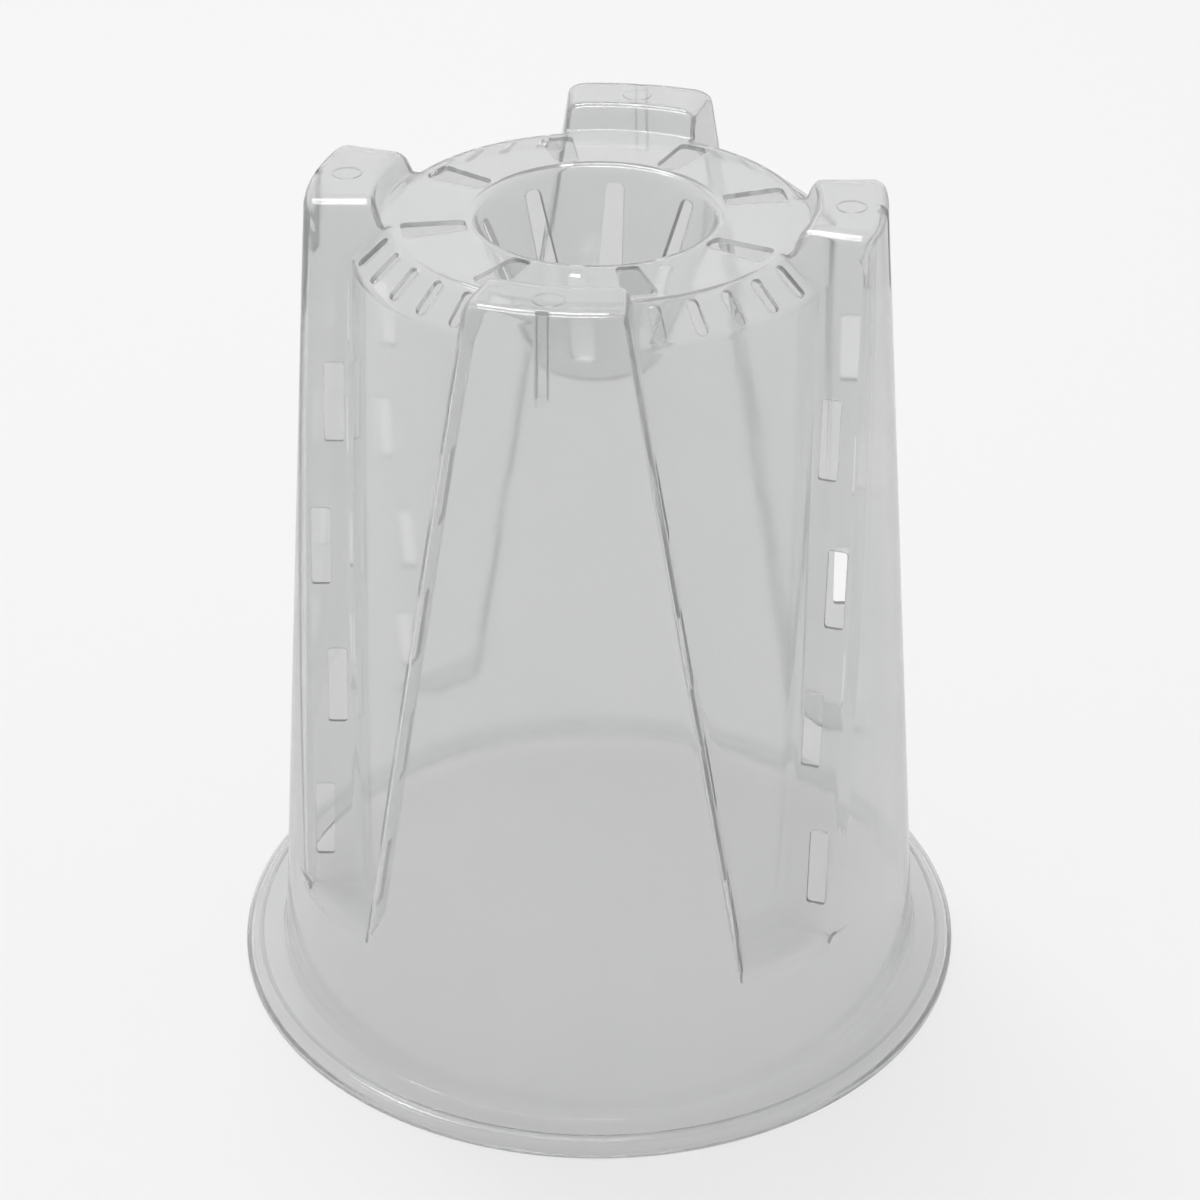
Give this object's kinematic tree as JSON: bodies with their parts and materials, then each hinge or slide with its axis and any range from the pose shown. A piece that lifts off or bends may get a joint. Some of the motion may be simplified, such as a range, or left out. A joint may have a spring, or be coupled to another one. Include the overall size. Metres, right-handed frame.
{
  "type": "slotted orchid pot",
  "caption": "Clear tapered orchid pot with a flanged rim, hollow feet down its wall, slotted side walls, a slotted base with a bevel and a slotted air cone in the middle.",
  "frame": {"origin": "centre of the mouth rim, on the plane that the rim stands on in the picture", "axes": "+Z from the mouth to the feet, -Y to the front, a foot on each of +X, -X, +Y and -Y"},
  "size_m": [0.15, 0.15, 0.1687],
  "materials": {
    "clear_polypropylene": "clear injection-moulded polypropylene, glossy with a slight haze"
  },
  "bodies": {
    "root": {"rim_flange": "clear_polypropylene", "mouth_band": "clear_polypropylene", "foot_front": "clear_polypropylene", "foot_right": "clear_polypropylene", "foot_back": "clear_polypropylene", "foot_left": "clear_polypropylene", "recess_panel_front_right": "clear_polypropylene", "recess_panel_back_right": "clear_polypropylene", "recess_panel_back_left": "clear_polypropylene", "recess_panel_front_left": "clear_polypropylene", "base_plate": "clear_polypropylene", "air_cone": "clear_polypropylene"}
  },
  "joints": []
}
